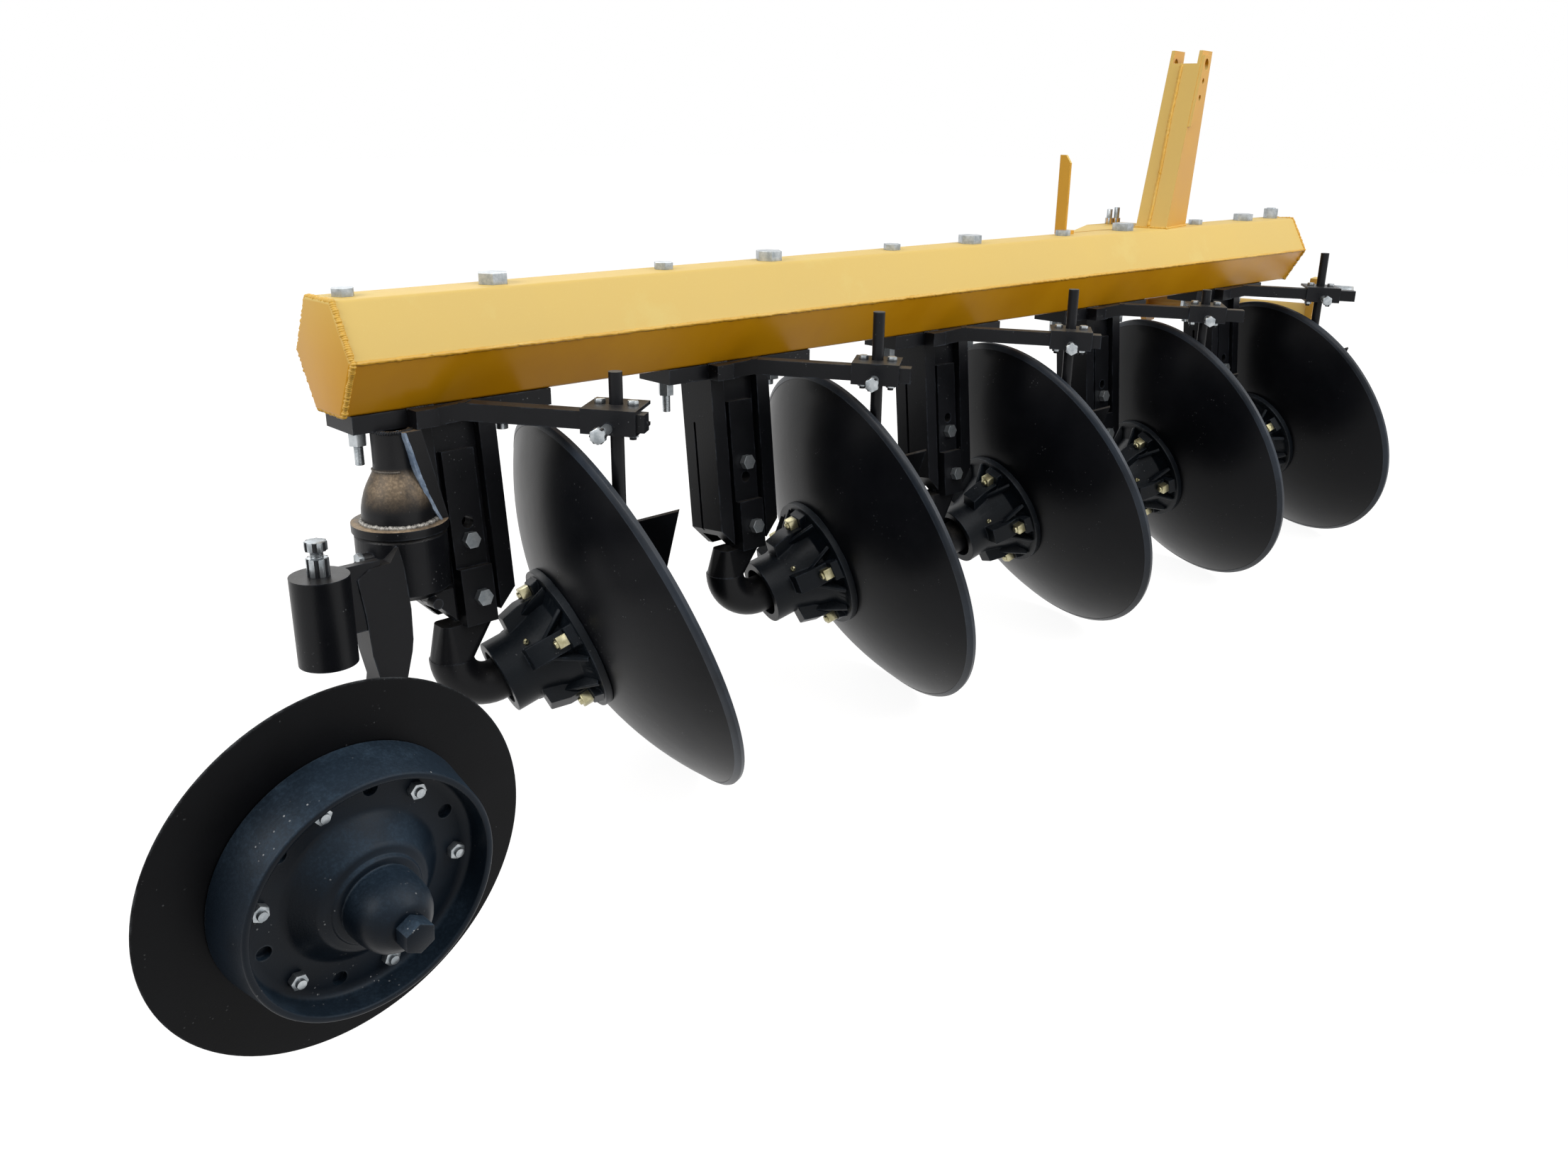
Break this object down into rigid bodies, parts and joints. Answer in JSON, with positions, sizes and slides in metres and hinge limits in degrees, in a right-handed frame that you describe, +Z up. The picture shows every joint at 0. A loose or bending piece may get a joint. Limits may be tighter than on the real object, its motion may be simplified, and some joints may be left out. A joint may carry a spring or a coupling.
{
  "type": "mounted disc plough",
  "caption": "Mounted disc plough with a straight six-sided beam, staggered concave discs on tilted hubs, scrapers, a rear furrow wheel and a three-point headstock.",
  "frame": {"origin": "middle of the right lower hitch pin, on its axis", "axes": "+X along the main beam from its rear end to its front end, +Z up, +Y to the land side; the cross shaft and its pins are turned 13 degrees from the beam's square line"},
  "size_m": [3.2541, 1.3941, 1.2009],
  "materials": {
    "yellow_paint": "satin",
    "black_paint": "satin",
    "disc_paint": "satin",
    "wheel_paint": "satin",
    "zinc_bolts": "satin",
    "spring_steel": "satin"
  },
  "bodies": {
    "plough_frame": {"main_beam": "yellow_paint", "headstock": "yellow_paint", "mast": "yellow_paint", "cross_shaft": "yellow_paint", "beam_stay": "yellow_paint", "beam_bolts": "zinc_bolts", "spindle_bolts": "zinc_bolts", "leg_1": "black_paint", "spindle_1": "black_paint", "scraper_arm_1": "black_paint", "scraper_1": "black_paint", "leg_2": "black_paint", "spindle_2": "black_paint", "scraper_arm_2": "black_paint", "scraper_2": "black_paint", "leg_3": "black_paint", "spindle_3": "black_paint", "scraper_arm_3": "black_paint", "scraper_3": "black_paint", "leg_4": "black_paint", "spindle_4": "black_paint", "scraper_arm_4": "black_paint", "scraper_4": "black_paint", "leg_5": "black_paint", "spindle_5": "black_paint", "scraper_arm_5": "black_paint", "scraper_5": "black_paint", "furrow_bracket": "black_paint"},
    "disc_unit_1": {"hub_1": "black_paint", "disc_1": "disc_paint"},
    "disc_unit_2": {"hub_2": "black_paint", "disc_2": "disc_paint"},
    "disc_unit_3": {"hub_3": "black_paint", "disc_3": "disc_paint"},
    "disc_unit_4": {"hub_4": "black_paint", "disc_4": "disc_paint"},
    "disc_unit_5": {"hub_5": "black_paint", "disc_5": "disc_paint"},
    "furrow_wheel_fork": {"furrow_swivel": "black_paint", "furrow_spring_box": "black_paint", "furrow_spring": "spring_steel", "furrow_axle": "black_paint"},
    "furrow_wheel": {"furrow_wheel_disc": "wheel_paint", "furrow_wheel_drum": "wheel_paint"}
  },
  "joints": [
    {"name": "disc_1_spin", "type": "hinge", "parent": "plough_frame", "child": "disc_unit_1", "pos_m": [-2.57369, 0.0538, -0.393], "axis": [0.9122, -0.2072, 0.3535], "continuous": true},
    {"name": "disc_2_spin", "type": "hinge", "parent": "plough_frame", "child": "disc_unit_2", "pos_m": [-2.03169, 0.0538, -0.385], "axis": [0.9121, -0.2512, 0.3239], "continuous": true},
    {"name": "disc_3_spin", "type": "hinge", "parent": "plough_frame", "child": "disc_unit_3", "pos_m": [-1.48969, 0.0538, -0.393], "axis": [0.9041, -0.2171, 0.3681], "continuous": true},
    {"name": "disc_4_spin", "type": "hinge", "parent": "plough_frame", "child": "disc_unit_4", "pos_m": [-0.94769, 0.0538, -0.393], "axis": [0.8973, -0.2709, 0.3486], "continuous": true},
    {"name": "disc_5_spin", "type": "hinge", "parent": "plough_frame", "child": "disc_unit_5", "pos_m": [-0.40569, 0.0538, -0.397], "axis": [0.8961, -0.262, 0.3584], "continuous": true},
    {"name": "furrow_wheel_steer", "type": "hinge", "parent": "plough_frame", "child": "furrow_wheel_fork", "pos_m": [-2.69969, 0.0808, -0.121], "axis": [0, 0, 1], "range_deg": [-20, 20]},
    {"name": "furrow_wheel_spin", "type": "hinge", "parent": "furrow_wheel_fork", "child": "furrow_wheel", "pos_m": [-2.99469, -0.2992, -0.391], "axis": [0.0589, -0.9919, -0.1123], "continuous": true}
  ]
}
